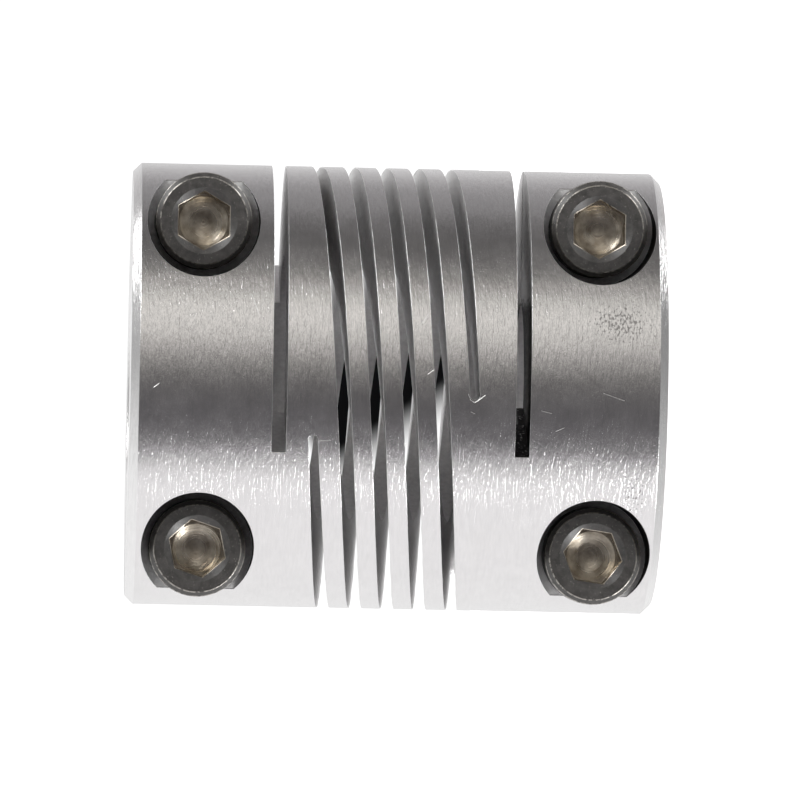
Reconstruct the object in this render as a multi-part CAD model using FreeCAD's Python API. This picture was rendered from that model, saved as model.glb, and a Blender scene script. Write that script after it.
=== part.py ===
import FreeCAD, Part
import math
import os

# Flexible shaft coupling: one aluminium bar, turned, bored and cut by three helical slots
# into a spring, with a split clamp hub at each end and four socket head cap screws.
# The bore axis is +Z and the coupling stands on its lower end face at z = 0.
# The screw heads face -Y, and the saw cuts that free the clamp jaws open toward +X.
# All sizes are in millimetres and degrees.

# Turned bar
body_length = 37.8
body_diameter = 31.75
end_chamfer = 0.6

# Shaft bores in the hubs, and the wider relief bore through the spring between them
upper_bore_diameter = 12.7
lower_bore_diameter = 12.7
bore_chamfer = 0.4
relief_diameter = 19.0

# Spring: slots of one hand, spread evenly round the bar, wound down from the upper hub
slot_starts = 3
slot_lead = 6.93
slot_depth_from_top = 12.87
slot_height_from_bottom = 13.62
slot_start_angle = -103.6
slot_gap_middle = 0.98
slot_gap_end = 0.68
slot_run_in = 110.0
slot_end_relief = 0.04

# Turn between the points that a slot's edges pass through, and the bands that its twisted
# walls are ruled in, from the bore to the outside
slot_step = 30.0
slot_wall_bands = 6

# Saw cut across the top of each hub: distance of its middle from the hub's end face,
# tilt of its flat bottom round the axis, and height of that bottom above the axis
saw_width = 1.02
upper_saw_depth = 10.47
upper_saw_tilt = 25.6
upper_saw_height = 2.36
lower_saw_depth = 10.2
lower_saw_tilt = 21.2
lower_saw_height = 1.14

# Slit that parts each hub into a front and a rear half, along the bore axis
slit_width = 1.0

# Clamp screws: two in each hub, one on each side of the bore
screw_depth_upper = 5.0
screw_depth_lower = 4.75
screw_diameter = 4.166
screw_length = 12.7
screw_tip_chamfer = 0.45
head_diameter = 6.86
head_height = 4.17
head_chamfer = 0.35
head_seat_gap = 0.02
head_fillet = 0.25
socket_flats = 3.57
socket_depth = 2.1
socket_mouth_diameter = 4.7
socket_mouth_angle = 60.0
pilot_diameter = 3.5
pilot_extra_depth = 0.15
drill_point_angle = 118.0
upper_right_socket_turn = 0.0
upper_left_socket_turn = 12.0
lower_right_socket_turn = 0.0
lower_left_socket_turn = 22.0

# Holes for the screws, and the thin wall left between a counterbore and the bar's outside
counterbore_diameter = 8.0
counterbore_floor = 6.4
counterbore_wall = 0.275
clearance_hole_diameter = 4.5
thread_clearance = 0.05

body_radius = body_diameter / 2
screw_offset = body_radius - counterbore_wall - counterbore_diameter / 2
upper_saw_z = body_length - upper_saw_depth
slot_travel = body_length - slot_depth_from_top - slot_height_from_bottom
slot_turn = 360 * slot_travel / slot_lead
overcut = 1.0
up = FreeCAD.Vector(0, 0, 1)
rearward = FreeCAD.Vector(0, 1, 0)


def turned_bar():
    """Solid bar with a chamfer on both end edges."""
    profile = [
        (0, 0),
        (body_radius - end_chamfer, 0),
        (body_radius, end_chamfer),
        (body_radius, body_length - end_chamfer),
        (body_radius - end_chamfer, body_length),
        (0, body_length),
        (0, 0),
    ]
    outline = Part.makePolygon([FreeCAD.Vector(r, 0, z) for r, z in profile])
    return Part.Face(outline).revolve(FreeCAD.Vector(), up, 360)


def shaft_bore():
    """Everything the drill and the boring bar take out along the axis."""
    upper_radius = upper_bore_diameter / 2
    lower_radius = lower_bore_diameter / 2
    relief_radius = relief_diameter / 2
    profile = [
        (0, -overcut),
        (lower_radius + bore_chamfer + overcut, -overcut),
        (lower_radius, bore_chamfer),
        (lower_radius, lower_saw_depth),
        (relief_radius, lower_saw_depth),
        (relief_radius, upper_saw_z),
        (upper_radius, upper_saw_z),
        (upper_radius, body_length - bore_chamfer),
        (upper_radius + bore_chamfer + overcut, body_length + overcut),
        (0, body_length + overcut),
        (0, -overcut),
    ]
    outline = Part.makePolygon([FreeCAD.Vector(r, 0, z) for r, z in profile])
    return Part.Face(outline).revolve(FreeCAD.Vector(), up, 360)


def slot_gap(turned):
    """Gap after turning by an angle: narrow at the two ends, open in between."""
    from_end = min(turned, slot_turn - turned, slot_run_in)
    share = 1 - (1 - from_end / slot_run_in) ** 2
    return slot_gap_end + (slot_gap_middle - slot_gap_end) * share


def slot_point(radius, turned, side, start_angle):
    """Point on one wall of a slot, side +1 for the upper wall and -1 for the lower."""
    angle = math.radians(start_angle - turned)
    middle = body_length - slot_depth_from_top - slot_lead * turned / 360
    height = middle + side * slot_gap(turned) / 2
    return FreeCAD.Vector(radius * math.cos(angle), radius * math.sin(angle), height)


def slot_edge(radius, side, start_angle):
    """Smooth helical line on a slot wall at one radius."""
    steps = max(8, round(slot_turn / slot_step))
    points = [
        slot_point(radius, slot_turn * i / steps, side, start_angle) for i in range(steps + 1)
    ]
    curve = Part.BSplineCurve()
    curve.interpolate(points)
    return curve.toShape()


def helical_slot(start_angle):
    """Cutter for one slot: two radial helical walls, closed inside, outside and at its ends."""
    inner = relief_diameter / 2 - overcut
    band = (body_radius + overcut - inner) / slot_wall_bands
    radii = [inner + band * i for i in range(slot_wall_bands + 1)]
    faces = []
    walls = {}
    for side in (1, -1):
        walls[side] = [slot_edge(radius, side, start_angle) for radius in radii]
        for near, far in zip(walls[side], walls[side][1:]):
            faces.append(Part.makeRuledSurface(near, far))
    for end in (0, -1):
        faces.append(Part.makeRuledSurface(walls[1][end], walls[-1][end]))
    for turned in (0, slot_turn):
        corners = [slot_point(radius, turned, 1, start_angle) for radius in radii]
        corners += [slot_point(radius, turned, -1, start_angle) for radius in reversed(radii)]
        faces.append(Part.Face(Part.makePolygon(corners + corners[:1])))
    shell = Part.Shell(faces)
    shell.sewShape()
    slot = Part.Solid(shell)
    if slot.Volume < 0:
        slot.reverse()
    return slot


def slot_ends(start_angle):
    """Round ends that the cutter leaves where a slot begins and where it stops."""
    radius = slot_gap_end / 2 + slot_end_relief / 2
    inner = relief_diameter / 2 - overcut
    ends = []
    for turned in (0, slot_turn):
        angle = math.radians(start_angle - turned)
        middle = body_length - slot_depth_from_top - slot_lead * turned / 360
        outward = FreeCAD.Vector(math.cos(angle), math.sin(angle), 0)
        foot = outward * inner + up * middle
        ends.append(Part.makeCylinder(radius, body_radius + overcut - inner, foot, outward))
    return ends


def saw_cut(middle, tilt, height):
    """Slice across a hub from the +X side down to a flat, tilted bottom."""
    size = 2 * (body_radius + overcut)
    corner = FreeCAD.Vector(height, -size / 2, middle - saw_width / 2)
    slice_box = Part.makeBox(size, size, saw_width, corner)
    slice_box.rotate(FreeCAD.Vector(), up, -tilt)
    return slice_box


def hub_slit(low, high):
    """Slit through both walls of a hub, in the plane of the bore axis."""
    size = 2 * (body_radius + overcut)
    corner = FreeCAD.Vector(-size / 2, -slit_width / 2, low)
    return Part.makeBox(size, slit_width, high - low, corner)


def screw_places():
    """Name, centre line and socket turn of each clamp screw."""
    upper = body_length - screw_depth_upper
    lower = screw_depth_lower
    return [
        ("upper_right_clamp_screw", screw_offset, upper, upper_right_socket_turn),
        ("upper_left_clamp_screw", -screw_offset, upper, upper_left_socket_turn),
        ("lower_right_clamp_screw", screw_offset, lower, lower_right_socket_turn),
        ("lower_left_clamp_screw", -screw_offset, lower, lower_left_socket_turn),
    ]


def screw_holes(x, z):
    """Counterbore and clearance hole in the front half, tapped hole in the rear half."""
    reach = body_radius + overcut
    front = FreeCAD.Vector(x, -reach, z)
    floor = FreeCAD.Vector(x, -counterbore_floor, z)
    middle = FreeCAD.Vector(x, 0, z)
    tapped_radius = screw_diameter / 2 + thread_clearance
    return [
        Part.makeCylinder(counterbore_diameter / 2, reach - counterbore_floor, front, rearward),
        Part.makeCylinder(clearance_hole_diameter / 2, counterbore_floor, floor, rearward),
        Part.makeCylinder(tapped_radius, reach, middle, rearward),
    ]


def coupling_body():
    """The bar with its bores, saw cuts, slits, screw holes and helical slots."""
    cutters = [
        shaft_bore(),
        saw_cut(upper_saw_z, upper_saw_tilt, upper_saw_height),
        saw_cut(lower_saw_depth, lower_saw_tilt, lower_saw_height),
        hub_slit(upper_saw_z, body_length + overcut),
        hub_slit(-overcut, lower_saw_depth),
    ]
    for _, x, z, _ in screw_places():
        cutters += screw_holes(x, z)
    for i in range(slot_starts):
        start_angle = slot_start_angle + i * 360 / slot_starts
        cutters.append(helical_slot(start_angle))
        cutters += slot_ends(start_angle)
    body = turned_bar()
    for cutter in cutters:
        body = body.cut(cutter)
    return body


def socket_cutter(turn):
    """Hex socket with a countersunk mouth and a drilled point, opening at z = 0 upward."""
    corner_radius = socket_flats / math.sqrt(3)
    corners = []
    for i in range(7):
        angle = math.radians(turn + 60 * i)
        corners.append(
            FreeCAD.Vector(corner_radius * math.cos(angle), corner_radius * math.sin(angle), 0)
        )
    hexagon = Part.Face(Part.makePolygon(corners)).extrude(up * -socket_depth)
    mouth_radius = socket_mouth_diameter / 2
    pilot_radius = pilot_diameter / 2
    mouth_drop = mouth_radius / math.tan(math.radians(socket_mouth_angle))
    mouth = Part.makeCone(0, mouth_radius, mouth_drop, up * -mouth_drop)
    pilot_depth = socket_depth + pilot_extra_depth
    pilot = Part.makeCylinder(pilot_radius, pilot_depth, up * -pilot_depth)
    point_drop = pilot_radius / math.tan(math.radians(drill_point_angle / 2))
    point = Part.makeCone(0, pilot_radius, point_drop, up * -(pilot_depth + point_drop))
    return hexagon.fuse([mouth, pilot, point])


def clamp_screw(x, z, turn):
    """Cap screw, modelled head up with its seat at z = 0 and then laid along the hole."""
    shank_radius = screw_diameter / 2
    head_radius = head_diameter / 2
    profile = [
        (0, -screw_length),
        (shank_radius - screw_tip_chamfer, -screw_length),
        (shank_radius, screw_tip_chamfer - screw_length),
        (shank_radius, 0),
        (head_radius - head_fillet, 0),
        (head_radius, head_fillet),
        (head_radius, head_height - head_chamfer),
        (head_radius - head_chamfer, head_height),
        (0, head_height),
        (0, -screw_length),
    ]
    outline = Part.makePolygon([FreeCAD.Vector(r, 0, h) for r, h in profile])
    screw = Part.Face(outline).revolve(FreeCAD.Vector(), up, 360)
    socket = socket_cutter(turn)
    socket.translate(up * head_height)
    screw = screw.cut(socket)
    screw.rotate(FreeCAD.Vector(), FreeCAD.Vector(1, 0, 0), 90)
    screw.translate(FreeCAD.Vector(x, -counterbore_floor - head_seat_gap, z))
    return screw


def save(name, shape):
    """Write one solid as a STEP file named after its node."""
    shape.exportStep(os.path.join("parts", name + ".step"))


os.makedirs("parts", exist_ok=True)
save("coupling_body", coupling_body().Solids[0])
for name, x, z, turn in screw_places():
    save(name, clamp_screw(x, z, turn))
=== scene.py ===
import math

import bmesh
import bpy
from mathutils import Matrix, Vector


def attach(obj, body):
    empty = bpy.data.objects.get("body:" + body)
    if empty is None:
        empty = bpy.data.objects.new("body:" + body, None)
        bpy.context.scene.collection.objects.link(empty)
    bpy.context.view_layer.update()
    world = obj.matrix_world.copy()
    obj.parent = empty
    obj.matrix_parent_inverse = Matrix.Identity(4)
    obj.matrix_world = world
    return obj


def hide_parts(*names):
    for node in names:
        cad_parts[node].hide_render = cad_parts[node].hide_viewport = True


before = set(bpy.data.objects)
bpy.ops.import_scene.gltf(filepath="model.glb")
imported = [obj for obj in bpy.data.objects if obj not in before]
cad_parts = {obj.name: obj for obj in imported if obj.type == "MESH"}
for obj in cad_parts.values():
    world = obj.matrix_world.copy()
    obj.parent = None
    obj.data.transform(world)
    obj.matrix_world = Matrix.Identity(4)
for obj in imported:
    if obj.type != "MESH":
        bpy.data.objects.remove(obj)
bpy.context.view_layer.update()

MM = 0.001

# Turned bar, in millimetres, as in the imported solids
LENGTH = 37.8
RADIUS = 15.875
END_CHAMFER = 0.6

# Helical slots: three starts, wound down from the upper hub
SLOT_STARTS = (-103.6, 16.4, 136.4)
SLOT_LEAD = 6.93
SLOT_DEPTH = 12.87
SLOT_TURN = 587.5
SLOT_GAP_MIDDLE = 0.98
SLOT_GAP_END = 0.68
SLOT_RUN_IN = 110.0

# Saw cut of the lower hub
LOWER_SAW_Z = 10.2
SAW_HALF_WIDTH = 0.51

# Clamp screws: a number 8 socket head cap screw, 32 threads to the inch
SCREW_OFFSET = 11.6
SCREW_UPPER_Z = 32.8
SCREW_LOWER_Z = 4.75
SEAT_Y = -6.42
COUNTERBORE_FLOOR = 6.4
COUNTERBORE_RADIUS = 4.0
THREAD_PITCH = 0.794
THREAD_RADIUS = 2.083
THREAD_ROOT = 1.62
TAPPED_RADIUS = 2.133
SHANK_LENGTH = 12.7
HEAD_RADIUS = 3.43
HEAD_HEIGHT = 4.17
HEAD_CHAMFER = 0.35
HEAD_FILLET = 0.25
KNURL_DEPTH = 0.02
SOCKET_APOTHEM = 1.785
SOCKET_DEPTH = 2.1
MOUTH_RADIUS = 2.35
PILOT_RADIUS = 1.75
PILOT_DEPTH = 2.25
POINT_DEPTH = 3.3
FULL_TURN = 360
# x and z of each screw, and the turn of its socket in degrees
SCREWS = {
    "upper_right": (SCREW_OFFSET, SCREW_UPPER_Z, 0),
    "upper_left": (-SCREW_OFFSET, SCREW_UPPER_Z, 12),
    "lower_right": (SCREW_OFFSET, SCREW_LOWER_Z, 0),
    "lower_left": (-SCREW_OFFSET, SCREW_LOWER_Z, 22),
}

# Camera: it stands far off on the side of the screw heads, 6 mm above the upper end of the
# coupling, and lies on its side, so that the picture's right is -Z and its top is +X. Its
# turn from there is an axis times an angle in degrees. The focal length is in photo pixels.
CAMERA_MM = (-0.5, -602.0, LENGTH + 6.08)
CAMERA_TURN = (0.055, 2.44, -1.222)
FOCAL_PX = 8360.0
PHOTO_PX = 800
SENSOR_MM = 36.0

# What the bright metal mirrors, by direction round the bore axis in degrees, from the
# camera's side (-Y) toward +X: level with the bar, and 21 degrees or more above or below it
ROOM_LEVEL = [
    (-180, "#e8e8e8"), (-60, "#eae8e9"), (-47, "#e8e6e7"), (-40, "#cccacb"), (-34, "#807e80"),
    (-28, "#666466"), (-10, "#504e50"), (6, "#605e5d"), (14, "#989592"), (24, "#d8d4d0"),
    (38, "#f4f1ec"), (47, "#dcd9d4"), (56, "#9c9995"), (66, "#686665"), (84, "#585656"),
    (98, "#666464"), (108, "#868485"), (126, "#8c8a8b"), (150, "#bebcbd"), (180, "#e8e8e8"),
]
ROOM_RAISED = [
    (-180, "#f0f0f0"), (-50, "#e8e7e8"), (-38, "#a2a0a2"), (-28, "#6a686a"), (-10, "#545254"),
    (20, "#767472"), (40, "#8a8784"), (58, "#6c6a68"), (86, "#4e4c4c"), (104, "#747273"),
    (150, "#b4b2b3"), (180, "#f0f0f0"),
]
# Heights of a direction, as its z on a ball of radius 1: where the level ring starts to
# give way to the raised one, where that is all, and the same two for the room's caps
LEVEL_UP_TO = 0.06
RAISED_FROM = 0.36
CAP_FROM = 0.5
CAP_FULL = 0.9

# Small soft lamps at the upper left and the lower right of the picture, each with the way
# to its middle and its power, and the cosines of the angles off that way at which they
# begin and are full
SMALL_LAMPS = [((0.62, -0.45, 0.62), 5.0), ((-0.62, -0.45, -0.62), 9.0)]
LAMP_RIM = 0.955
LAMP_CORE = 0.985

# Broad soft lamps over the ends of the bar: where they begin and are full by the x and by
# the height of a direction, and their power
OVERHEAD_X = (0.42, 0.7)
OVERHEAD_HEIGHT = (0.58, 0.8)
OVERHEAD_POWER = 6.0
ROOM_STRENGTH = 1.1

# Settings of nodes that mix colours, mix numbers and blend softly between two limits
COLOURS = {"data_type": "RGBA"}
NUMBERS = {"data_type": "FLOAT"}
SMOOTH = {"interpolation_type": "SMOOTHSTEP"}


def linear(code, alpha=1.0):
    """Linear colour from an sRGB hex code."""
    parts = [int(code[i:i + 2], 16) / 255 for i in (1, 3, 5)]
    return [c / 12.92 if c <= 0.04045 else ((c + 0.055) / 1.055) ** 2.4 for c in parts] + [alpha]


def add(tree, kind, settings=None, inputs=None):
    """Add a node: settings are its own values, inputs are sockets to link or values to set."""
    node = tree.nodes.new(kind)
    for name, value in (settings or {}).items():
        setattr(node, name, value)
    for name, value in (inputs or {}).items():
        socket = node.inputs[name]
        if isinstance(value, bpy.types.NodeSocket):
            tree.links.new(value, socket)
        else:
            socket.default_value = value
    return node


def fill_ramp(ramp_node, stops):
    """Put the stops (position, colour) on a colour ramp."""
    elements = ramp_node.color_ramp.elements
    while len(elements) < len(stops):
        elements.new(0.5)
    for element, (position, colour) in zip(elements, stops):
        element.position = position
        element.color = colour


def new_material(name):
    """Empty material, with the point in millimetres and its three coordinates."""
    material = bpy.data.materials.new(name)
    material.use_nodes = True
    tree = material.node_tree
    tree.nodes.clear()
    coords = add(tree, "ShaderNodeTexCoord")
    scale = {0: coords.outputs["Object"], "Scale": 1 / MM}
    point = add(tree, "ShaderNodeVectorMath", {"operation": "SCALE"}, scale).outputs[0]
    parts = add(tree, "ShaderNodeSeparateXYZ", inputs={0: point}).outputs
    return material, tree, point, parts


def make_camera():
    """The photo's camera, with a long lens."""
    data = bpy.data.cameras.new("camera")
    camera = bpy.data.objects.new("camera", data)
    bpy.context.scene.collection.objects.link(camera)
    data.sensor_width = SENSOR_MM
    data.lens = SENSOR_MM * FOCAL_PX / PHOTO_PX
    data.clip_start = 10 * MM
    side_on = Matrix(((0, 0, -1), (1, 0, 0), (0, -1, 0))).transposed()
    axis = Vector(CAMERA_TURN)
    turn = Matrix.Rotation(math.radians(axis.length), 3, axis.normalized())
    place = Matrix.Translation(Vector(CAMERA_MM) * MM)
    camera.matrix_world = place @ (side_on @ turn.transposed()).to_4x4()
    bpy.context.scene.camera = camera


def room_walls(tree, x, y, z, height):
    """Walls by direction round the bar, closed by a cap above and one below. The caps are
    darker toward +X, and the upper one is the brighter."""
    toward = add(tree, "ShaderNodeMath", {"operation": "MULTIPLY"}, {0: y, 1: -1.0}).outputs[0]
    angle = add(tree, "ShaderNodeMath", {"operation": "ARCTAN2"}, {0: x, 1: toward}).outputs[0]
    place = add(tree, "ShaderNodeMapRange", inputs={0: angle, 1: -math.pi, 2: math.pi})
    rings = []
    for stops in (ROOM_LEVEL, ROOM_RAISED):
        ring = add(tree, "ShaderNodeValToRGB", inputs={0: place.outputs[0]})
        fill_ramp(ring, [((a + 180) / 360, linear(c)) for a, c in stops])
        rings.append(ring.outputs[0])
    raised = add(
        tree, "ShaderNodeMapRange", inputs={0: height, 1: LEVEL_UP_TO, 2: RAISED_FROM}
    ).outputs[0]
    walls = add(tree, "ShaderNodeMix", COLOURS, {0: raised, 6: rings[0], 7: rings[1]}).outputs[2]
    side = add(tree, "ShaderNodeMapRange", inputs={0: x, 1: 0.1, 2: -0.4, 3: 0.35, 4: 0.8})
    above = add(tree, "ShaderNodeMapRange", inputs={0: z, 1: -0.5, 2: 0.5, 3: 0.75, 4: 1.1})
    lit = {0: side.outputs[0], 1: above.outputs[0]}
    cap = add(tree, "ShaderNodeMath", {"operation": "MULTIPLY"}, lit).outputs[0]
    closed = add(
        tree, "ShaderNodeMapRange", inputs={0: height, 1: CAP_FROM, 2: CAP_FULL}
    ).outputs[0]
    return add(tree, "ShaderNodeMix", COLOURS, {0: closed, 6: walls, 7: cap}).outputs[2]


def room_lamps(tree, way, x, height):
    """Light of the small soft lamps, and of the broad ones, which reach into the cuts."""
    small = []
    for middle, power in SMALL_LAMPS:
        lamp_way = Vector(middle).normalized()
        lean = add(
            tree, "ShaderNodeVectorMath", {"operation": "DOT_PRODUCT"}, {0: way, 1: lamp_way}
        ).outputs["Value"]
        glow = add(
            tree, "ShaderNodeMapRange", SMOOTH, {0: lean, 1: LAMP_RIM, 2: LAMP_CORE, 4: power}
        )
        small.append(glow.outputs[0])
    both = add(tree, "ShaderNodeMath", {"operation": "ADD"}, {0: small[0], 1: small[1]})
    high = add(
        tree,
        "ShaderNodeMapRange",
        SMOOTH,
        {0: x, 1: OVERHEAD_X[0], 2: OVERHEAD_X[1], 4: OVERHEAD_POWER},
    ).outputs[0]
    outward = add(
        tree,
        "ShaderNodeMapRange",
        SMOOTH,
        {0: height, 1: OVERHEAD_HEIGHT[0], 2: OVERHEAD_HEIGHT[1]},
    ).outputs[0]
    broad = add(tree, "ShaderNodeMath", {"operation": "MULTIPLY"}, {0: high, 1: outward})
    every = {0: both.outputs[0], 1: broad.outputs[0]}
    return add(tree, "ShaderNodeMath", {"operation": "ADD"}, every).outputs[0]


def make_room():
    """A pale room with a dark side behind the camera, a dark strip above it, a strip light
    between the two, and soft lamps. The camera itself sees a white backdrop instead, with a
    dark patch of painted shade behind the spring."""
    world = bpy.data.worlds.new("studio_room")
    bpy.context.scene.world = world
    world.use_nodes = True
    tree = world.node_tree
    tree.nodes.clear()
    way = add(tree, "ShaderNodeTexCoord").outputs["Generated"]
    x, y, z = add(tree, "ShaderNodeSeparateXYZ", inputs={0: way}).outputs
    height = add(tree, "ShaderNodeMath", {"operation": "ABSOLUTE"}, {0: z}).outputs[0]
    walls = room_walls(tree, x, y, z, height)
    lamps = room_lamps(tree, way, x, height)
    room = add(
        tree,
        "ShaderNodeMix",
        {"data_type": "RGBA", "blend_type": "ADD"},
        {0: 1.0, 6: walls, 7: lamps},
    ).outputs[2]
    seen = add(tree, "ShaderNodeLightPath").outputs["Is Camera Ray"]
    shown = add(
        tree, "ShaderNodeMix", COLOURS, {0: seen, 6: room, 7: backdrop(tree, way)}
    ).outputs[2]
    light = add(tree, "ShaderNodeBackground", inputs={"Color": shown, "Strength": ROOM_STRENGTH})
    add(tree, "ShaderNodeOutputWorld", inputs={0: light.outputs[0]})


# Backdrop, as seen from 1 away: the way to the middle of its dark patch of painted shade,
# straight behind the spring, the patch's radius and the share of it at which the dark is gone,
# and the way across the patch to its light side, with where the dark starts to fade and is gone
PATCH_WAY = (-0.0013, 1.0, -0.0408)
PATCH_RADIUS = 0.0088
PATCH_RIM = 1.25
PATCH_ACROSS = (-0.827, 0.0, -0.562)
PATCH_FADE = (0.0008, 0.0066)


def backdrop(tree, way):
    """White backdrop with a small dark patch of painted shade, which only the gaps of the spring
    show.
    """
    from_patch = add(
        tree, "ShaderNodeVectorMath", {"operation": "SUBTRACT"}, {0: way, 1: PATCH_WAY}
    ).outputs[0]
    reach = add(tree, "ShaderNodeVectorMath", {"operation": "LENGTH"}, {0: from_patch})
    across = add(
        tree,
        "ShaderNodeVectorMath",
        {"operation": "DOT_PRODUCT"},
        {0: from_patch, 1: PATCH_ACROSS},
    )
    disc, dark_side = [
        add(
            tree,
            "ShaderNodeMapRange",
            SMOOTH,
            {0: measure.outputs["Value"], 1: full, 2: gone, 3: 1.0, 4: 0.0},
        ).outputs[0]
        for measure, full, gone in (
            (reach, PATCH_RADIUS, PATCH_RADIUS * PATCH_RIM),
            (across, PATCH_FADE[0], PATCH_FADE[1]),
        )
    ]
    share = add(tree, "ShaderNodeMath", {"operation": "MULTIPLY"}, {0: disc, 1: dark_side})
    # painted shade: the dark patch that the gaps of the spring show in place of the shaded slots
    painted = {0: share.outputs[0], 6: (1, 1, 1, 1), 7: linear("#0c0c0d")}
    return add(tree, "ShaderNodeMix", COLOURS, painted).outputs[2]


FLOOR_HALF = 250.0


def make_floor():
    """Plain white floor, bright enough to stay white round the coupling, and so small that
    the gaps of the spring show the backdrop and not the floor."""
    half = FLOOR_HALF * MM
    mesh = bpy.data.meshes.new("floor")
    corners = [(-half, -half, 0), (half, -half, 0), (half, half, 0), (-half, half, 0)]
    mesh.from_pydata(corners, [], [(0, 1, 2, 3)])
    floor = bpy.data.objects.new("floor", mesh)
    bpy.context.scene.collection.objects.link(floor)
    material, tree, _, _ = new_material("white_paper")
    paper = add(
        tree,
        "ShaderNodeBsdfPrincipled",
        inputs={
            "Base Color": linear("#f4f4f4"),
            "Roughness": 0.9,
            "Emission Color": (1, 1, 1, 1),
            "Emission Strength": 0.75,
        },
    )
    add(tree, "ShaderNodeOutputMaterial", inputs={0: paper.outputs[0]})
    mesh.materials.append(material)
    floor.visible_glossy = False


def worn_edge(tree, radius, least, most):
    """Normal rounded at sharp edges, and a mask of those edges. Least and most are cosines
    of the angle between the rounded and the true normal where the mask begins and is full."""
    soft = add(tree, "ShaderNodeBevel", {"samples": 4}, {"Radius": radius * MM}).outputs[0]
    true = add(tree, "ShaderNodeNewGeometry").outputs["Normal"]
    same = add(tree, "ShaderNodeVectorMath", {"operation": "DOT_PRODUCT"}, {0: soft, 1: true})
    edge = add(
        tree, "ShaderNodeMapRange", inputs={0: same.outputs["Value"], 1: least, 2: most}
    ).outputs[0]
    return soft, edge


def screw_reach(tree, x, z):
    """Distance of a point from the axis of the nearest clamp screw."""
    side = add(tree, "ShaderNodeMath", {"operation": "ABSOLUTE"}, {0: x}).outputs[0]
    across = add(tree, "ShaderNodeMath", {"operation": "SUBTRACT"}, {0: side, 1: SCREW_OFFSET})
    heights = []
    for place in (SCREW_UPPER_Z, SCREW_LOWER_Z):
        away = add(tree, "ShaderNodeMath", {"operation": "SUBTRACT"}, {0: z, 1: place}).outputs[0]
        heights.append(add(tree, "ShaderNodeMath", {"operation": "ABSOLUTE"}, {0: away}).outputs[0])
    near = add(tree, "ShaderNodeMath", {"operation": "MINIMUM"}, {0: heights[0], 1: heights[1]})
    flat = add(
        tree, "ShaderNodeCombineXYZ", inputs={0: across.outputs[0], 1: near.outputs[0]}
    ).outputs[0]
    return add(tree, "ShaderNodeVectorMath", {"operation": "LENGTH"}, {0: flat}).outputs["Value"]


# Stains on the lower hub, in millimetres: middle round the bar and along it, half sizes,
# and strength
STAINS = [((5.0, 3.4), (2.4, 3.8), 0.27), ((-7.4, 2.2), (2.8, 1.7), 0.21)]


def stain_mask(tree, rolled):
    """Small dark pits and specks, close together in the middle of each stain."""
    specks = add(
        tree,
        "ShaderNodeVectorMath",
        {"operation": "MULTIPLY"},
        {0: rolled, 1: (4.0, 6.0, 0.0)},
    ).outputs[0]
    total = add(
        tree,
        "ShaderNodeTexNoise",
        inputs={"Vector": specks, "Scale": 1.0, "Detail": 2.0, "Roughness": 0.6},
    ).outputs[0]
    for (arc, height), (arc_size, height_size), strength in STAINS:
        away = add(
            tree,
            "ShaderNodeVectorMath",
            {"operation": "SUBTRACT"},
            {0: rolled, 1: (arc, height, 0.0)},
        ).outputs[0]
        shared = add(
            tree,
            "ShaderNodeVectorMath",
            {"operation": "MULTIPLY"},
            {0: away, 1: (1 / arc_size, 1 / height_size, 0.0)},
        ).outputs[0]
        reach = add(tree, "ShaderNodeVectorMath", {"operation": "LENGTH"}, {0: shared})
        inside = add(
            tree,
            "ShaderNodeMapRange",
            inputs={0: reach.outputs["Value"], 1: 0.2, 2: 1.0, 3: strength, 4: 0.0},
        ).outputs[0]
        total = add(tree, "ShaderNodeMath", {"operation": "ADD"}, {0: total, 1: inside}).outputs[0]
    return add(tree, "ShaderNodeMapRange", inputs={0: total, 1: 0.74, 2: 0.84, 4: 0.6}).outputs[0]


def rolled_out(tree, x, y, z):
    """How far a point lies to the front, its distance from the bore axis, and the point
    unrolled: its way round the bar, its height and that distance."""
    front = add(tree, "ShaderNodeMath", {"operation": "MULTIPLY"}, {0: y, 1: -1.0}).outputs[0]
    angle = add(tree, "ShaderNodeMath", {"operation": "ARCTAN2"}, {0: x, 1: front}).outputs[0]
    flat = add(tree, "ShaderNodeCombineXYZ", inputs={0: x, 1: y, 2: 0.0}).outputs[0]
    reach = add(tree, "ShaderNodeVectorMath", {"operation": "LENGTH"}, {0: flat}).outputs["Value"]
    arc = add(tree, "ShaderNodeMath", {"operation": "MULTIPLY"}, {0: angle, 1: RADIUS}).outputs[0]
    rolled = add(tree, "ShaderNodeCombineXYZ", inputs={0: arc, 1: z, 2: reach}).outputs[0]
    return front, reach, rolled


def turned_masks(tree, z, reach):
    """Mask of the bar's outside, and of that and all within a chamfer's length of an end."""
    outside = add(
        tree, "ShaderNodeMapRange", inputs={0: reach, 1: RADIUS - 0.1, 2: RADIUS - 0.03}
    ).outputs[0]
    middle = add(tree, "ShaderNodeMath", {"operation": "SUBTRACT"}, {0: z, 1: LENGTH / 2})
    away = add(tree, "ShaderNodeMath", {"operation": "ABSOLUTE"}, {0: middle.outputs[0]})
    chamfer_low = LENGTH / 2 - END_CHAMFER - 0.02
    ends = add(
        tree,
        "ShaderNodeMapRange",
        inputs={0: away.outputs[0], 1: chamfer_low - 0.02, 2: chamfer_low},
    ).outputs[0]
    turned = add(tree, "ShaderNodeMath", {"operation": "MAXIMUM"}, {0: outside, 1: ends})
    return outside, turned.outputs[0]


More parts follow.
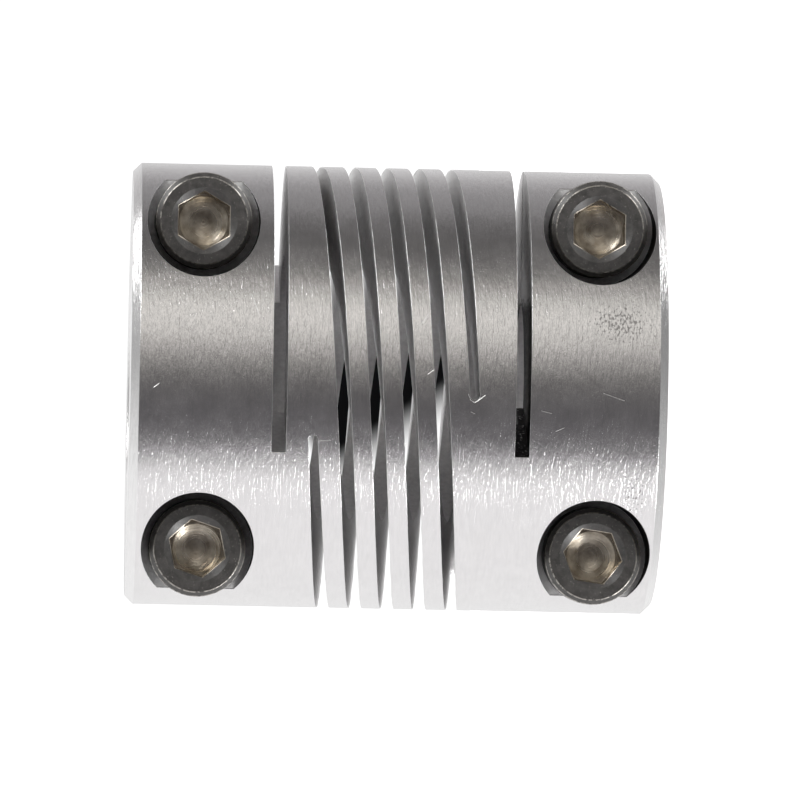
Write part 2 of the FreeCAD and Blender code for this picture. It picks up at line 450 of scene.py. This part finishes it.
def clamp_hole_masks(tree, x, z, front, inside):
    """Masks of the clamp holes: all that lies round a screw, the wall of the counterbore,
    painted dark as shade, and its dull floor with the rest of the hole."""
    bored = add(
        tree,
        "ShaderNodeMapRange",
        inputs={
            0: screw_reach(tree, x, z),
            1: COUNTERBORE_RADIUS + 0.05,
            2: COUNTERBORE_RADIUS + 0.02,
        },
    ).outputs[0]
    in_front = add(
        tree,
        "ShaderNodeMapRange",
        inputs={0: front, 1: COUNTERBORE_FLOOR + 0.05, 2: COUNTERBORE_FLOOR + 0.15},
    ).outputs[0]
    upper = add(tree, "ShaderNodeMath", {"operation": "MULTIPLY"}, {0: bored, 1: in_front})
    shaded_wall, hole = [
        add(tree, "ShaderNodeMath", {"operation": "MULTIPLY"}, {0: part, 1: inside}).outputs[0]
        for part in (upper.outputs[0], bored)
    ]
    dull = add(tree, "ShaderNodeMath", {"operation": "SUBTRACT"}, {0: hole, 1: shaded_wall}).outputs[0]
    return bored, shaded_wall, dull


def dirt_and_shade_mask(tree, x, z, grit, rings, inside):
    """Dirt and painted shade in the lower saw cut, below a ragged upper edge, with bare flecks."""
    from_cut = add(tree, "ShaderNodeMath", {"operation": "SUBTRACT"}, {0: z, 1: LOWER_SAW_Z})
    cut_away = add(tree, "ShaderNodeMath", {"operation": "ABSOLUTE"}, {0: from_cut.outputs[0]})
    in_cut = add(
        tree,
        "ShaderNodeMapRange",
        inputs={0: cut_away.outputs[0], 1: SAW_HALF_WIDTH + 0.1, 2: SAW_HALF_WIDTH + 0.05},
    ).outputs[0]
    ragged = add(
        tree, "ShaderNodeMath", {"operation": "MULTIPLY_ADD"}, {0: grit, 1: 4.0, 2: x}
    ).outputs[0]
    packed = add(tree, "ShaderNodeMapRange", inputs={0: ragged, 1: 8.6, 2: 8.0}).outputs[0]
    flecks = add(
        tree, "ShaderNodeMapRange", inputs={0: rings, 1: 0.6, 2: 0.66, 3: 1.0, 4: 0.2}
    ).outputs[0]
    dirt_shade = in_cut
    for share in (packed, flecks, inside):
        both = {0: dirt_shade, 1: share}
        dirt_shade = add(tree, "ShaderNodeMath", {"operation": "MULTIPLY"}, both).outputs[0]
    return dirt_shade


def turned_aluminium():
    """Bare turned aluminium: bright metal with short fine ring marks left by the tool, a
    cloudy sheen, duller sawn walls, counterbore walls painted dark as shade, and dirt with
    painted shade in the lower cut."""
    material, tree, point, (x, y, z) = new_material("turned_aluminium_bare")
    front, reach, rolled = rolled_out(tree, x, y, z)
    outside, turned = turned_masks(tree, z, reach)
    inside = add(tree, "ShaderNodeMath", {"operation": "SUBTRACT"}, {0: 1.0, 1: outside}).outputs[0]
    spread = add(
        tree, "ShaderNodeVectorMath", {"operation": "MULTIPLY"}, {0: rolled, 1: (0.9, 5.0, 5.0)}
    ).outputs[0]
    # ring marks about 0.2 mm apart along the bar and 0.4 to 1.4 mm long round it, a cloudy
    # sheen, the grit of the sawn walls, and small pits and bruises up to 0.2 mm across
    rings, cloud, grit, pocks = [
        add(
            tree,
            "ShaderNodeTexNoise",
            inputs={"Vector": at, "Scale": scale, "Detail": detail, "Roughness": fineness},
        ).outputs[0]
        for at, scale, detail, fineness in (
            (spread, 1.0, 3.0, 0.65),
            (point, 0.5, 4.0, 0.65),
            (point, 3.0, 3.0, 0.65),
            (point, 5.0, 1.0, 0.5),
        )
    ]
    pits = add(tree, "ShaderNodeMapRange", inputs={0: pocks, 1: 0.6, 2: 0.72, 4: -0.05}).outputs[0]
    ring_tone, cloud_tone, sawn_tone = [
        add(
            tree, "ShaderNodeMapRange", inputs={0: grain, 1: 0.3, 2: 0.7, 3: darkest, 4: 1.0}
        ).outputs[0]
        for grain, darkest in ((rings, 0.95), (cloud, 0.95), (grit, 0.82))
    ]
    turned_tone = add(
        tree, "ShaderNodeMath", {"operation": "MULTIPLY"}, {0: ring_tone, 1: cloud_tone}
    ).outputs[0]
    tone = add(
        tree, "ShaderNodeMix", NUMBERS, {0: turned, 2: sawn_tone, 3: turned_tone}
    ).outputs[0]
    bored, shaded_wall, dull = clamp_hole_masks(tree, x, z, front, inside)
    metallic = add(tree, "ShaderNodeMapRange", inputs={0: dull, 3: 1.0, 4: 0.4}).outputs[0]
    grey = add(tree, "ShaderNodeCombineXYZ", inputs={0: tone, 1: tone, 2: tone}).outputs[0]
    metal = add(
        tree,
        "ShaderNodeMix",
        {"data_type": "RGBA", "blend_type": "MULTIPLY"},
        {0: 1.0, 6: linear("#f5f4f4"), 7: grey},
    ).outputs[2]
    soft, edge = worn_edge(tree, 0.05, 0.985, 0.9)
    for share, code in (
        (edge, "#fafafa"),
        # painted shade: the walls of the counterbores are coloured dark
        (shaded_wall, "#383636"),
        # dirt and painted shade: the lower saw cut is coloured near black below a ragged edge
        (dirt_and_shade_mask(tree, x, z, grit, rings, inside), "#1b1a19"),
        (stain_mask(tree, rolled), "#3e3c3a"),
    ):
        painted = {0: share, 6: metal, 7: linear(code)}
        metal = add(tree, "ShaderNodeMix", COLOURS, painted).outputs[2]
    turned_rough = add(
        tree, "ShaderNodeMapRange", inputs={0: cloud, 1: 0.3, 2: 0.7, 3: 0.18, 4: 0.27}
    ).outputs[0]
    rough = 0.45
    for share, layer in ((turned, turned_rough), (bored, 0.6), (outside, turned_rough)):
        rough = add(tree, "ShaderNodeMix", NUMBERS, {0: share, 2: rough, 3: layer}).outputs[0]
    skin = add(tree, "ShaderNodeMath", {"operation": "ADD"}, {0: rings, 1: pits}).outputs[0]
    height = add(tree, "ShaderNodeMix", NUMBERS, {0: turned, 2: grit, 3: skin}).outputs[0]
    bump = add(
        tree,
        "ShaderNodeBump",
        inputs={"Strength": 1.0, "Distance": 0.04 * MM, "Height": height, "Normal": soft},
    ).outputs[0]
    shader = add(
        tree,
        "ShaderNodeBsdfPrincipled",
        inputs={"Base Color": metal, "Metallic": metallic, "Roughness": rough, "Normal": bump},
    )
    add(tree, "ShaderNodeOutputMaterial", inputs={0: shader.outputs[0]})
    return material


def torn_aluminium():
    """Torn aluminium of burrs and scratch lips: brighter and smoother than the turned skin."""
    material, tree, point, _ = new_material("torn_aluminium_burr")
    grain = add(tree, "ShaderNodeTexNoise", inputs={"Vector": point, "Scale": 4.0}).outputs[0]
    colour = add(tree, "ShaderNodeValToRGB", inputs={0: grain})
    fill_ramp(colour, [(0.3, linear("#e2e1df")), (0.7, linear("#fafaf8"))])
    rough = add(tree, "ShaderNodeMapRange", inputs={0: grain, 1: 0.3, 2: 0.7, 3: 0.25, 4: 0.5})
    shader = add(
        tree,
        "ShaderNodeBsdfPrincipled",
        inputs={
            "Base Color": colour.outputs[0], "Metallic": 1.0, "Roughness": rough.outputs[0],
        },
    )
    add(tree, "ShaderNodeOutputMaterial", inputs={0: shader.outputs[0]})
    return material


def blackened_steel():
    """Black-oxide alloy steel, forged and oiled: a warm near-black skin with a soft sheen,
    lighter rubbed specks, and bare bright metal where the edges have worn through."""
    material, tree, point, _ = new_material("black_oxide_steel_oiled")
    grain = add(
        tree,
        "ShaderNodeTexNoise",
        inputs={"Vector": point, "Scale": 2.4, "Detail": 5.0, "Roughness": 0.7},
    ).outputs[0]
    specks = add(
        tree,
        "ShaderNodeTexNoise",
        inputs={"Vector": point, "Scale": 9.0, "Detail": 2.0, "Roughness": 0.6},
    ).outputs[0]
    skin = add(tree, "ShaderNodeValToRGB", inputs={0: grain})
    fill_ramp(skin, [(0.3, linear("#2b2a28")), (0.7, linear("#4c4947"))])
    soft, edge = worn_edge(tree, 0.06, 0.992, 0.95)
    broken = add(tree, "ShaderNodeMapRange", inputs={0: grain, 1: 0.38, 2: 0.52, 3: 0.3}).outputs[0]
    worn = add(tree, "ShaderNodeMath", {"operation": "MULTIPLY"}, {0: edge, 1: broken}).outputs[0]
    rubbed = add(tree, "ShaderNodeMapRange", inputs={0: specks, 1: 0.66, 2: 0.74, 4: 0.7}).outputs[0]
    bright = add(tree, "ShaderNodeMath", {"operation": "MAXIMUM"}, {0: worn, 1: rubbed}).outputs[0]
    base = add(
        tree, "ShaderNodeMix", COLOURS, {0: bright, 6: skin.outputs[0], 7: linear("#b4b0aa")}
    ).outputs[2]
    rough = add(tree, "ShaderNodeMapRange", inputs={0: grain, 1: 0.3, 2: 0.7, 3: 0.34, 4: 0.5})
    bump = add(
        tree,
        "ShaderNodeBump",
        inputs={"Strength": 1.0, "Distance": 0.012 * MM, "Height": specks, "Normal": soft},
    ).outputs[0]
    shader = add(
        tree,
        "ShaderNodeBsdfPrincipled",
        inputs={
            "Base Color": base, "Metallic": bright, "Roughness": rough.outputs[0],
            "IOR": 1.7, "Normal": bump,
        },
    )
    add(tree, "ShaderNodeOutputMaterial", inputs={0: shader.outputs[0]})
    return material


def worn_edge_steel():
    """Edges of the black screw heads, rubbed through to bright steel in patches."""
    material, tree, point, _ = new_material("black_oxide_steel_rubbed")
    grain = add(
        tree,
        "ShaderNodeTexNoise",
        inputs={"Vector": point, "Scale": 3.0, "Detail": 4.0, "Roughness": 0.7},
    ).outputs[0]
    bare = add(tree, "ShaderNodeMapRange", inputs={0: grain, 1: 0.42, 2: 0.55}).outputs[0]
    base = add(
        tree,
        "ShaderNodeMix",
        COLOURS,
        {0: bare, 6: linear("#4c4947"), 7: linear("#bcb8b1")},
    ).outputs[2]
    shader = add(
        tree,
        "ShaderNodeBsdfPrincipled",
        inputs={"Base Color": base, "Metallic": bare, "Roughness": 0.3},
    )
    add(tree, "ShaderNodeOutputMaterial", inputs={0: shader.outputs[0]})
    return material


def drilled_steel():
    """Bare steel of the sockets, broached and drilled: warm brownish grey with the drill's
    ring marks and brown stains of old oil."""
    material, tree, point, (x, _, z) = new_material("drilled_steel_bare")
    away = screw_reach(tree, x, z)
    turned = add(tree, "ShaderNodeCombineXYZ", inputs={0: away}).outputs[0]
    spread = add(
        tree, "ShaderNodeVectorMath", {"operation": "MULTIPLY"}, {0: turned, 1: (7.0, 1.0, 1.0)}
    ).outputs[0]
    blotch = add(
        tree,
        "ShaderNodeTexNoise",
        inputs={"Vector": point, "Scale": 1.1, "Detail": 4.0, "Roughness": 0.6},
    ).outputs[0]
    wobble = add(
        tree, "ShaderNodeVectorMath", {"operation": "SCALE"}, {0: point, "Scale": 0.8}
    ).outputs[0]
    marks_at = add(tree, "ShaderNodeVectorMath", {"operation": "ADD"}, {0: spread, 1: wobble})
    marks = add(
        tree,
        "ShaderNodeTexNoise",
        inputs={"Vector": marks_at.outputs[0], "Scale": 1.0, "Detail": 2.0},
    ).outputs[0]
    colour = add(tree, "ShaderNodeValToRGB", inputs={0: blotch})
    fill_ramp(colour, [(0.3, linear("#9a8f80")), (0.7, linear("#dcd4c6"))])
    rough = add(tree, "ShaderNodeMapRange", inputs={0: marks, 1: 0.3, 2: 0.7, 3: 0.24, 4: 0.36})
    soft, _ = worn_edge(tree, 0.05, 0.99, 0.95)
    bump = add(
        tree,
        "ShaderNodeBump",
        inputs={"Strength": 1.0, "Distance": 0.02 * MM, "Height": marks, "Normal": soft},
    ).outputs[0]
    shader = add(
        tree,
        "ShaderNodeBsdfPrincipled",
        inputs={
            "Base Color": colour.outputs[0], "Metallic": 1.0,
            "Roughness": rough.outputs[0], "Normal": bump,
        },
    )
    add(tree, "ShaderNodeOutputMaterial", inputs={0: shader.outputs[0]})
    return material


def ridge_tree():
    """Geometry Nodes tree that lays a closed ridge along a path: a thread, a burr or the lip
    of a scratch. The ridge is broken up where Breaks is above nought."""
    tree = bpy.data.node_groups.new("ridge_along_path", "GeometryNodeTree")
    kinds = {
        "Path": "NodeSocketGeometry",
        "Width": "NodeSocketFloat",
        "Crest": "NodeSocketFloat",
        "Height": "NodeSocketFloat",
        "Breaks": "NodeSocketFloat",
        "Seed": "NodeSocketFloat",
        "Finish": "NodeSocketMaterial",
    }
    for name, kind in kinds.items():
        tree.interface.new_socket(name, in_out="INPUT", socket_type=kind)
    tree.interface.new_socket("Ridge", in_out="OUTPUT", socket_type="NodeSocketGeometry")
    given = add(tree, "NodeGroupInput").outputs
    path = add(tree, "GeometryNodeMeshToCurve", inputs={0: given["Path"]}).outputs[0]
    path = add(tree, "GeometryNodeSetCurveNormal", {"mode": "Z_UP"}, {0: path}).outputs[0]
    outline = add(
        tree,
        "GeometryNodeCurvePrimitiveQuadrilateral",
        {"mode": "TRAPEZOID"},
        {
            "Height": given["Height"], "Bottom Width": given["Width"],
            "Top Width": given["Crest"], "Offset": 0.0,
        },
    ).outputs[0]
    outline = add(
        tree, "GeometryNodeTransform", inputs={0: outline, "Rotation": (0, 0, -math.pi / 2)}
    ).outputs[0]
    place = add(tree, "GeometryNodeInputPosition").outputs[0]
    noise = add(
        tree,
        "ShaderNodeTexNoise",
        {"noise_dimensions": "4D"},
        {"Vector": place, "W": given["Seed"], "Scale": 0.9 / MM, "Detail": 3.0},
    ).outputs[0]
    torn = add(tree, "ShaderNodeMapRange", inputs={0: noise, 1: 0.42, 2: 0.62, 3: 0.88, 4: 0.0})
    lost = add(
        tree,
        "ShaderNodeMath",
        {"operation": "MULTIPLY"},
        {0: torn.outputs[0], 1: given["Breaks"]},
    ).outputs[0]
    size = add(tree, "ShaderNodeMath", {"operation": "SUBTRACT"}, {0: 1.0, 1: lost}).outputs[0]
    ridge = add(
        tree,
        "GeometryNodeCurveToMesh",
        inputs={0: path, 1: outline, "Scale": size, "Fill Caps": True},
    ).outputs[0]
    whole = add(tree, "GeometryNodeRealizeInstances", inputs={0: ridge}).outputs[0]
    finished = add(tree, "GeometryNodeSetMaterial", inputs={0: whole, "Material": given["Finish"]})
    add(tree, "NodeGroupOutput", inputs={0: finished.outputs[0]})
    return tree


def lay_ridge(tree, paths, settings):
    """Plain mesh of the ridges along the paths, which are lists of points in metres."""
    points = []
    edges = []
    for path in paths:
        edges += [(i, i + 1) for i in range(len(points), len(points) + len(path) - 1)]
        points += path
    mesh = bpy.data.meshes.new("ridge_path")
    mesh.from_pydata(points, edges, [])
    holder = bpy.data.objects.new("ridge_path", mesh)
    bpy.context.scene.collection.objects.link(holder)
    modifier = holder.modifiers.new("ridge", "NODES")
    modifier.node_group = tree
    for socket in tree.interface.items_tree:
        if socket.in_out == "INPUT" and socket.name in settings:
            modifier[socket.identifier] = settings[socket.name]
    ready = holder.evaluated_get(bpy.context.evaluated_depsgraph_get())
    ridge = bpy.data.meshes.new_from_object(ready)
    holder.modifiers.remove(modifier)
    bpy.data.objects.remove(holder)
    return ridge


def add_piece(name, mesh, body):
    """Object for a finished mesh, riding on its body."""
    piece = bpy.data.objects.new(name, mesh)
    bpy.context.scene.collection.objects.link(piece)
    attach(piece, body)
    return piece


def rounded(corners):
    """Outline with each corner (radius, height, blend) cut back by its blend, and with a
    second point on each side of it, so that smooth shading leaves the flats flat."""
    outline = []
    for before, corner, after in zip(corners, corners[1:], corners[2:]):
        here = Vector(corner[:2])
        back = (Vector(before[:2]) - here).normalized() * corner[2]
        ahead = (Vector(after[:2]) - here).normalized() * corner[2]
        outline += [here + 2 * back, here + back, here + (back + ahead) / 4]
        outline += [here + ahead, here + 2 * ahead]
    return [Vector(corners[0][:2])] + outline + [Vector(corners[-1][:2])]


# Shank of a screw: the chamfer of its tip and the neck under its head, and the slope of the
# socket's mouth in degrees
TIP_CHAMFER_ACROSS = 0.12
TIP_CHAMFER_LENGTH = 0.15
NECK_RADIUS = THREAD_RADIUS - 0.1
NECK_LENGTH = 0.15
NECK_RUN_OUT = 0.45
MOUTH_SLOPE = 60


def screw_outline(degrees, socket_turn):
    """Half section of a screw at one angle round it, head up, from its tip to the bottom of
    its socket. The head's side is knurled, and the socket is a hexagon with a cone mouth."""
    from_flat = (degrees - socket_turn) % 60 - 30
    hexagon = SOCKET_APOTHEM / math.cos(math.radians(from_flat))
    side = HEAD_RADIUS - KNURL_DEPTH * (degrees % 2)
    edge_depth = (MOUTH_RADIUS - hexagon) / math.tan(math.radians(MOUTH_SLOPE))
    return rounded([
        (0, -SHANK_LENGTH, 0),
        (THREAD_ROOT - TIP_CHAMFER_ACROSS, -SHANK_LENGTH, 0.04),
        (THREAD_ROOT, TIP_CHAMFER_LENGTH - SHANK_LENGTH, 0.04),
        (THREAD_ROOT, -NECK_RUN_OUT, 0.05),
        (NECK_RADIUS, -NECK_LENGTH, 0.03),
        (NECK_RADIUS, 0, 0.03),
        (HEAD_RADIUS - HEAD_FILLET, 0, 0.04),
        (side, HEAD_FILLET, 0.05),
        (side, HEAD_HEIGHT - HEAD_CHAMFER, 0.04),
        (HEAD_RADIUS - HEAD_CHAMFER, HEAD_HEIGHT, 0.04),
        (MOUTH_RADIUS, HEAD_HEIGHT, 0.02),
        (hexagon, HEAD_HEIGHT - edge_depth, 0.04),
        (hexagon, HEAD_HEIGHT - SOCKET_DEPTH, 0.008),
        (PILOT_RADIUS, HEAD_HEIGHT - SOCKET_DEPTH, 0.008),
        (PILOT_RADIUS, HEAD_HEIGHT - PILOT_DEPTH, 0.02),
        (0, HEAD_HEIGHT - POINT_DEPTH, 0),
    ])


# Strips of a screw's skin, counted from its tip, five to each corner of its outline: the
# low and the high side of the head's chamfer, whose edges are worn, and the socket's start
CORNER_STRIPS = 5
CHAMFER_LOW = 7 * CORNER_STRIPS
CHAMFER_HIGH = 8 * CORNER_STRIPS
SOCKET_FROM = 10 * CORNER_STRIPS
WORN_STRIPS = {*range(CHAMFER_LOW, CHAMFER_LOW + 4), *range(CHAMFER_HIGH, CHAMFER_HIGH + 3)}
SHARP_FROM = 50


def screw_mesh(name, socket_turn, thread, finishes):
    """Screw turned round its own axis, head up, with a section at each degree, and joined
    with its thread. The finishes are those of its skin, its socket and its worn edges."""
    outlines = [screw_outline(degrees, socket_turn) for degrees in range(FULL_TURN)]
    rings = len(outlines[0])
    shape = bmesh.new()
    grid = []
    for degrees, outline in enumerate(outlines):
        angle = math.radians(degrees)
        way = Vector((math.cos(angle), math.sin(angle), 0))
        grid.append([
            shape.verts.new((way * point.x + Vector((0, 0, point.y))) * MM)
            for point in outline[1:-1]
        ])
    tip = shape.verts.new((0, 0, outlines[0][0].y * MM))
    bottom = shape.verts.new((0, 0, outlines[0][-1].y * MM))
    for column, following in zip(grid, grid[1:] + grid[:1]):
        shape.faces.new((tip, following[0], column[0]))
        for i in range(rings - 3):
            corners = (column[i], following[i], following[i + 1], column[i + 1])
            face = shape.faces.new(corners)
            if i >= SOCKET_FROM:
                face.material_index = 1
            elif i in WORN_STRIPS:
                face.material_index = 2
        shape.faces.new((column[-1], following[-1], bottom)).material_index = 1
    for face in shape.faces:
        face.smooth = True
    shape.from_mesh(thread)
    mesh = bpy.data.meshes.new(name)
    shape.to_mesh(mesh)
    shape.free()
    for finish in finishes:
        mesh.materials.append(finish)
    mesh.set_sharp_from_angle(angle=math.radians(SHARP_FROM))
    return mesh


def helix(radius, low, high, steps_per_turn=48):
    """Right-handed thread line round Z from a low to a high place."""
    steps = round(steps_per_turn * (high - low) / THREAD_PITCH)
    points = []
    for i in range(steps + 1):
        angle = 2 * math.pi * i / steps_per_turn
        height = low + THREAD_PITCH * i / steps_per_turn
        points.append(Vector((radius * math.cos(angle), radius * math.sin(angle), height)) * MM)
    return points


# Threads: width at the foot and at the crest, how far they are sunk in what carries them,
# the start and end of a screw's thread, measured up from its seat, the height of the
# tapped holes' thread, and the y of its turns
THREAD_FOOT = 0.7
THREAD_CREST = 0.1
THREAD_SINK = 0.02
THREAD_FROM = 0.25 - SHANK_LENGTH
THREAD_TO = -0.7
TAPPED_THREAD_HEIGHT = 0.38
TAPPED_THREAD_Y = (7.8, 6.7)


def thread_settings(height, finish):
    """Ridge of a thread: a wedge with a narrow crest."""
    return {
        "Width": THREAD_FOOT * MM, "Crest": THREAD_CREST * MM, "Height": height * MM,
        "Finish": finish,
    }


def screw_place(x, z):
    """From a screw that stands head up, with its seat at the origin, to its place."""
    return Matrix.Translation(Vector((x, SEAT_Y, z)) * MM) @ Matrix.Rotation(math.pi / 2, 4, "X")


def make_screws(tree, finishes):
    """The four clamp screws, each with its cut thread."""
    height = THREAD_RADIUS - THREAD_ROOT + THREAD_SINK
    path = helix(THREAD_RADIUS - height / 2, THREAD_FROM, THREAD_TO)
    thread = lay_ridge(tree, [path], thread_settings(height, finishes[0]))
    for name, (x, z, socket_turn) in SCREWS.items():
        mesh = screw_mesh(name + "_cap_screw", socket_turn, thread, finishes)
        mesh.transform(screw_place(x, z))
        screw = add_piece(name + "_cap_screw", mesh, name + "_screw")
        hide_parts(name + "_clamp_screw")


def make_tapped_threads(tree, metal):
    """The last turns of thread in the tapped holes, between the screw's tip and the mouth.
    Their path runs backwards, so that the ridge points inward."""
    middle = TAPPED_RADIUS + THREAD_SINK - TAPPED_THREAD_HEIGHT / 2
    path = helix(middle, SEAT_Y - TAPPED_THREAD_Y[0], SEAT_Y - TAPPED_THREAD_Y[1])
    whole = bmesh.new()
    for x, z, _ in SCREWS.values():
        thread = lay_ridge(tree, [path[::-1]], thread_settings(TAPPED_THREAD_HEIGHT, metal))
        thread.transform(screw_place(x, z))
        whole.from_mesh(thread)
    mesh = bpy.data.meshes.new("tapped_threads")
    whole.to_mesh(mesh)
    whole.free()
    mesh.materials.append(metal)
    add_piece("tapped_threads", mesh, "coupling")


def slot_gap(turned):
    """Gap of a slot after turning by an angle, as in the solids."""
    from_end = min(turned, SLOT_TURN - turned, SLOT_RUN_IN)
    share = 1 - (1 - from_end / SLOT_RUN_IN) ** 2
    return SLOT_GAP_END + (SLOT_GAP_MIDDLE - SLOT_GAP_END) * share


# Degrees between two points of a slot's edge
EDGE_STEP = 2.5


def slot_edge(start, side, radius):
    """Line along one edge of a slot: side +1 is its upper edge and -1 its lower one."""
    steps = round(SLOT_TURN / EDGE_STEP)
    points = []
    for i in range(steps, -1, -1):
        turned = SLOT_TURN * i / steps
        angle = math.radians(start - turned)
        height = LENGTH - SLOT_DEPTH - SLOT_LEAD * turned / 360 + side * slot_gap(turned) / 2
        points.append(Vector((radius * math.cos(angle), radius * math.sin(angle), height)) * MM)
    return points


# Burrs on the two edges of a slot: the side and width of each, their crest and height as
# shares of the width, and how far they are sunk in the skin
BURRS = {"lower": (-1, 0.055), "upper": (1, 0.04)}
BURR_CREST = 0.6
BURR_HEIGHT = 0.7
BURR_SINK = 0.02


def make_burrs(tree, metal):
    """Torn burrs that the slitting tool left, heavier on the lower edge of each slot."""
    for name, (side, width) in BURRS.items():
        paths = [slot_edge(start, side, RADIUS - BURR_SINK) for start in SLOT_STARTS]
        settings = {
            "Width": width * MM, "Crest": width * BURR_CREST * MM,
            "Height": width * BURR_HEIGHT * MM, "Breaks": 1.0, "Seed": 3.0 + side,
            "Finish": metal,
        }
        mesh = lay_ridge(tree, paths, settings)
        add_piece("slot_burrs_" + name, mesh, "coupling")


# Scratches on the skin, each a line of places: height in millimetres, and degrees from the
# front toward +X. The thick ones are torn spots near the ends of two slots.
FINE_SCRATCHES = [
    [(17.76, 15.4), (16.78, 20.5)],
    [(17.66, 15.4), (16.95, 19.0)],
    [(29.42, 23.9), (28.88, 18.2)],
    [(17.0, 3.8), (16.5, 5.1)],
    [(12.7, -18.0), (13.0, -18.6), (13.3, -20.1), (13.33, -22.4), (13.16, -24.0), (12.6, -25.7)],
    [(26.76, -19.9), (25.5, -18.8)],
    [(24.7, -13.8), (23.7, -13.6)],
    [(24.7, -18.4), (24.4, -18.4)],
    [(36.2, -1.0), (35.8, 0.1)],
    [(4.6, -0.1), (3.1, -1.9)],
    [(7.9, -10.1), (7.3, -9.1)],
    [(8.95, -4.9), (8.2, -5.5)],
    [(13.9, -5.5), (13.6, -6.0)],
]
THICK_SCRATCHES = [
    [(26.1, -16.0), (25.8, -16.0), (25.45, -17.5)],
    [(14.1, -1.0), (13.93, -2.5), (13.65, -3.2), (13.3, -2.3), (12.9, -1.2)],
]
SCRATCHES = {"fine_scratches": (FINE_SCRATCHES, 0.035), "thick_scratches": (THICK_SCRATCHES, 0.055)}

# Lips of the scratches, whose widths stand beside their lines: steps between two places,
# height, and how far they are sunk in the skin
SCRATCH_STEPS = 6
LIP_HEIGHT = 0.03
LIP_SINK = 0.005


def skin_line(places):
    """Points on the skin along a line of places, with steps between them."""
    points = []
    for (z_a, a_a), (z_b, a_b) in zip(places, places[1:]):
        for i in range(SCRATCH_STEPS):
            share = i / SCRATCH_STEPS
            points.append((z_a + (z_b - z_a) * share, math.radians(a_a + (a_b - a_a) * share)))
    points.append((places[-1][0], math.radians(places[-1][1])))
    reach = RADIUS - LIP_SINK
    return [Vector((reach * math.sin(a), -reach * math.cos(a), z)) * MM for z, a in points]


def make_scratches(tree, metal):
    """Raised and broken lips of the scratches and of the torn spots."""
    for name, (scratch_lines, width) in SCRATCHES.items():
        settings = {
            "Width": width * MM, "Crest": width * MM, "Height": LIP_HEIGHT * MM,
            "Breaks": 0.5, "Seed": 1.0, "Finish": metal,
        }
        mesh = lay_ridge(tree, [skin_line(line) for line in scratch_lines], settings)
        add_piece(name, mesh, "coupling")


make_camera()
make_room()
make_floor()
bpy.context.scene.view_settings.view_transform = "Standard"
bpy.context.scene.view_settings.look = "None"
aluminium = turned_aluminium()
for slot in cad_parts["coupling_body"].material_slots:
    slot.material = aluminium
ridge = ridge_tree()
torn = torn_aluminium()
make_screws(ridge, (blackened_steel(), drilled_steel(), worn_edge_steel()))
make_tapped_threads(ridge, torn)
make_burrs(ridge, torn)
make_scratches(ridge, torn)
